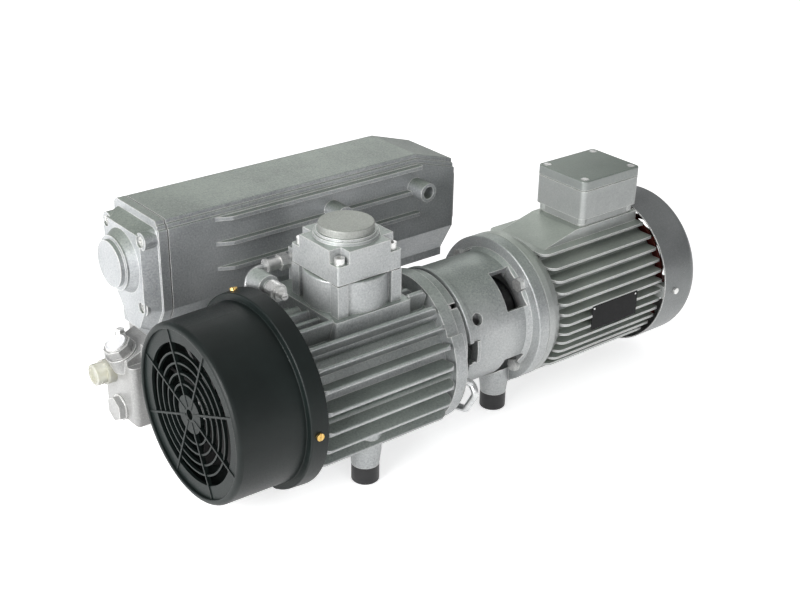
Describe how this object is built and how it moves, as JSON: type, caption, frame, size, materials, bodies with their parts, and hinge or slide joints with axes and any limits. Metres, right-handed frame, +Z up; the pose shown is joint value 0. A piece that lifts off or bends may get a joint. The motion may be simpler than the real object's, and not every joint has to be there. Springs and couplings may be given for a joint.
{
  "type": "rotary vane vacuum pump",
  "caption": "Oil-lubricated rotary vane vacuum pump: ribbed cylinder with guarded fan, inlet flange, oil separator box and sump, bell housing and flanged motor on rubber feet.",
  "frame": {"origin": "middle of the underside of the whole machine, on the plane it stands on", "axes": "+X along the shaft from the pump's fan to the motor, +Y from the cylinder to the oil separator box, +Z up"},
  "size_m": [0.772, 0.381, 0.313],
  "materials": {
    "cast_aluminium": "sand cast and painted silver grey",
    "bright_aluminium": "bright cast",
    "zinc_screws": "zinc plated",
    "brass_screws": "machined",
    "rotor_iron": "ground",
    "carbon_vane": "carbon fibre resin, matt",
    "bearing_metal": "bored",
    "seal_rubber": "satin",
    "gasket": "matt",
    "fan_plastic": "moulded",
    "guard_plastic": "moulded, satin",
    "cap_plastic": "moulded",
    "valve_plastic": "moulded",
    "zinc_pipe": "zinc plated",
    "coupling_aluminium": "turned",
    "red_elastomer": "moulded",
    "motor_aluminium": "die cast and painted",
    "laminations": "stacked",
    "shaft_steel": "ground",
    "motor_fan_plastic": "moulded",
    "cover_grey": "satin",
    "block_plastic": "moulded",
    "plate_black": "bare, satin",
    "filter_medium": "glass fibre sleeve",
    "plug_plastic": "moulded",
    "sight_glass": "translucent",
    "foot_rubber": "moulded"
  },
  "bodies": {
    "machine": {"cylinder": "cast_aluminium", "front_end_plate": "cast_aluminium", "rear_end_plate": "cast_aluminium", "front_plate_bolts": "zinc_screws", "rear_plate_bolts": "zinc_screws", "front_bearing": "bearing_metal", "rear_bearing": "bearing_metal", "front_shaft_seal": "seal_rubber", "rear_shaft_seal": "seal_rubber", "fan_guard": "guard_plastic", "guard_screws": "brass_screws", "inlet_body": "cast_aluminium", "inlet_gasket": "gasket", "inlet_flange": "cast_aluminium", "inlet_cap": "cap_plastic", "inlet_bolts": "zinc_screws", "ballast_valve_body": "cast_aluminium", "ballast_valve_nut": "zinc_screws", "oil_line": "zinc_pipe", "oil_line_union": "zinc_screws", "oil_return_line": "zinc_pipe", "bell_housing": "cast_aluminium", "bell_bolts": "zinc_screws", "motor_flange": "motor_aluminium", "motor_frame": "motor_aluminium", "motor_end_shield": "motor_aluminium", "motor_stator": "laminations", "motor_bearings": "shaft_steel", "motor_fan_cover": "cover_grey", "cover_screws": "zinc_screws", "terminal_box": "motor_aluminium", "terminal_gasket": "gasket", "terminal_lid": "motor_aluminium", "terminal_lid_screws": "zinc_screws", "terminal_block": "block_plastic", "rating_plate": "plate_black", "separator_box": "cast_aluminium", "cover_gasket": "gasket", "end_cover": "cast_aluminium", "end_cover_bolts": "zinc_screws", "rear_cover": "cast_aluminium", "exhaust_filter": "filter_medium", "oil_sump": "bright_aluminium", "oil_fill_plug": "plug_plastic", "sight_glass": "sight_glass", "drain_plug": "bright_aluminium", "foot_cylinder": "foot_rubber", "foot_bell": "foot_rubber", "foot_sump_left": "foot_rubber", "foot_sump_right": "foot_rubber"},
    "shaft_line": {"rotor": "rotor_iron", "vanes": "carbon_vane", "pump_fan": "fan_plastic", "fan_screw": "zinc_screws", "pump_coupling_hub": "coupling_aluminium", "coupling_spider": "red_elastomer", "motor_coupling_hub": "coupling_aluminium", "motor_rotor": "shaft_steel", "motor_fan": "motor_fan_plastic"},
    "inlet_valve": {"check_valve": "valve_plastic"}
  },
  "joints": [
    {"name": "shaft_spin", "type": "hinge", "parent": "machine", "child": "shaft_line", "pos_m": [0.086, -0.06395, 0.13], "axis": [1, 0, 0], "continuous": true},
    {"name": "inlet_valve_lift", "type": "slide", "parent": "machine", "child": "inlet_valve", "axis": [0, 0, 1], "range_m": [0, 0.006]}
  ]
}
